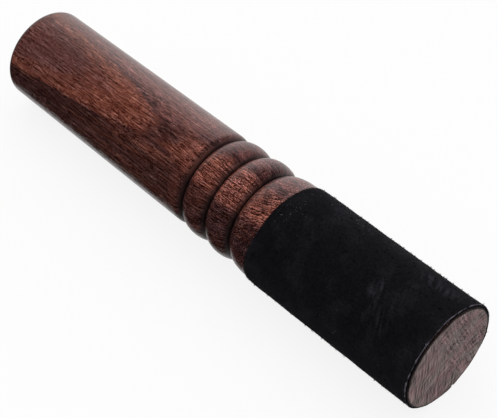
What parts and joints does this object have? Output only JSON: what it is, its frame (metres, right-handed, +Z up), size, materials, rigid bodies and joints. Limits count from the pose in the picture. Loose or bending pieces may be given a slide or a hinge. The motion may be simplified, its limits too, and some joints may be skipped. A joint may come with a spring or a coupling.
{
  "type": "singing bowl mallet",
  "caption": "Turned rosewood mallet with a plain tapered handle, grooved grip rings and a black suede wrap round its striking end, for sounding a singing bowl.",
  "frame": {"origin": "on the surface that the mallet lies on, below the middle of its length and width", "axes": "+X along the mallet's axis towards its suede-wrapped striking end, +Z up from the surface that it lies on"},
  "size_m": [0.18, 0.0352, 0.0352],
  "materials": {
    "rosewood": "oiled satin rosewood",
    "black_suede": "napped black suede",
    "dried_cement": "dried amber contact cement"
  },
  "bodies": {
    "root": {"wooden_body": "rosewood", "suede_wrap": "black_suede", "glue_film": "dried_cement"}
  },
  "joints": []
}
